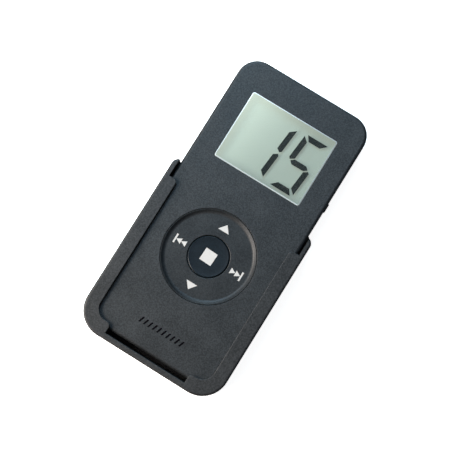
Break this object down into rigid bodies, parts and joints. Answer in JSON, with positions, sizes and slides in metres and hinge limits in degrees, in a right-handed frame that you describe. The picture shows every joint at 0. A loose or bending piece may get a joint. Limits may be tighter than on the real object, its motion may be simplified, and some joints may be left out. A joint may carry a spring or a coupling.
{
  "type": "handheld radio remote control with wall cradle",
  "caption": "Slim handheld radio remote with a large number display, a round four-way ring and a stop button, seated in a U-shaped wall cradle it slides out of.",
  "frame": {"origin": "middle of the outline, on the flat back of the cradle", "axes": "+Z out of the face, +Y up the length from the cradle's closed end to the display end, +X to the right seen from the front"},
  "size_m": [0.0548, 0.109, 0.0133],
  "materials": {
    "cradle_plastic": "fine matt texture",
    "case_plastic": "fine matt texture",
    "label_foil": "satin",
    "screw_steel": "blackened",
    "window_clear": "clear polished",
    "display_glass": "clear polished",
    "display_ink": "dark display bars",
    "display_reflector": "pale grey-green",
    "silicone_dark": "satin",
    "silicone_grey": "satin",
    "holder_plastic": "satin",
    "ring_plastic": "smooth satin",
    "stop_plastic": "smooth satin",
    "white_print": "print",
    "board_laminate": "solder mask",
    "contact_steel": "plated",
    "chip_epoxy": "moulded",
    "can_tinplate": "tinned",
    "antenna_copper": "enamelled wire",
    "switch_plastic": "moulded",
    "cell_steel": "bright"
  },
  "bodies": {
    "cradle": {"cradle_body": "cradle_plastic"},
    "handset": {"front_shell": "case_plastic", "rear_shell": "case_plastic", "rating_label": "label_foil", "case_screws": "screw_steel", "display_window": "window_clear", "display_glass": "display_glass", "display_digits": "display_ink", "display_reflector": "display_reflector", "contact_strip": "silicone_dark", "display_holder": "holder_plastic", "circuit_board": "board_laminate", "snap_domes": "contact_steel", "keypad_mat": "silicone_grey", "controller_chip": "chip_epoxy", "radio_can": "can_tinplate", "crystal": "can_tinplate", "surface_parts": "chip_epoxy", "antenna": "antenna_copper", "side_switch": "switch_plastic", "pairing_switch": "switch_plastic", "coin_cell": "cell_steel", "minus_contact": "contact_steel", "plus_contact": "contact_steel"},
    "ring_mount": {"ring_cushion": "silicone_dark"},
    "ring": {"dpad_ring": "ring_plastic", "ring_icons": "white_print"},
    "stop": {"stop_button": "stop_plastic", "stop_icon": "white_print"},
    "side_button": {"side_key": "stop_plastic"},
    "pairing": {"pairing_button": "stop_plastic"},
    "battery_door": {"battery_cap": "case_plastic"}
  },
  "joints": [
    {"name": "handset_slide", "type": "slide", "parent": "cradle", "child": "handset", "axis": [0, 1, 0], "range_m": [0, 0.064]},
    {"name": "ring_rock_up_down", "type": "hinge", "parent": "handset", "child": "ring_mount", "pos_m": [0, -0.01255, 0.0094], "axis": [1, 0, 0], "range_deg": [-1, 1], "stiffness_Nm_per_rad": 1},
    {"name": "ring_rock_left_right", "type": "hinge", "parent": "ring_mount", "child": "ring", "pos_m": [0, -0.01255, 0.0094], "axis": [0, 1, 0], "range_deg": [-1, 1], "stiffness_Nm_per_rad": 1},
    {"name": "stop_press", "type": "slide", "parent": "handset", "child": "stop", "axis": [0, 0, -1], "range_m": [0, 0.0004], "stiffness_N_per_m": 1500},
    {"name": "side_press", "type": "slide", "parent": "handset", "child": "side_button", "axis": [-1, 0, 0], "range_m": [0, 0.00025], "stiffness_N_per_m": 1500},
    {"name": "pairing_press", "type": "slide", "parent": "handset", "child": "pairing", "axis": [0, 0, 1], "range_m": [0, 0.00025], "stiffness_N_per_m": 1500},
    {"name": "battery_cap_turn", "type": "hinge", "parent": "handset", "child": "battery_door", "pos_m": [0, 0.03105, 0.0025], "axis": [0, 0, 1], "range_deg": [0, 45]}
  ]
}
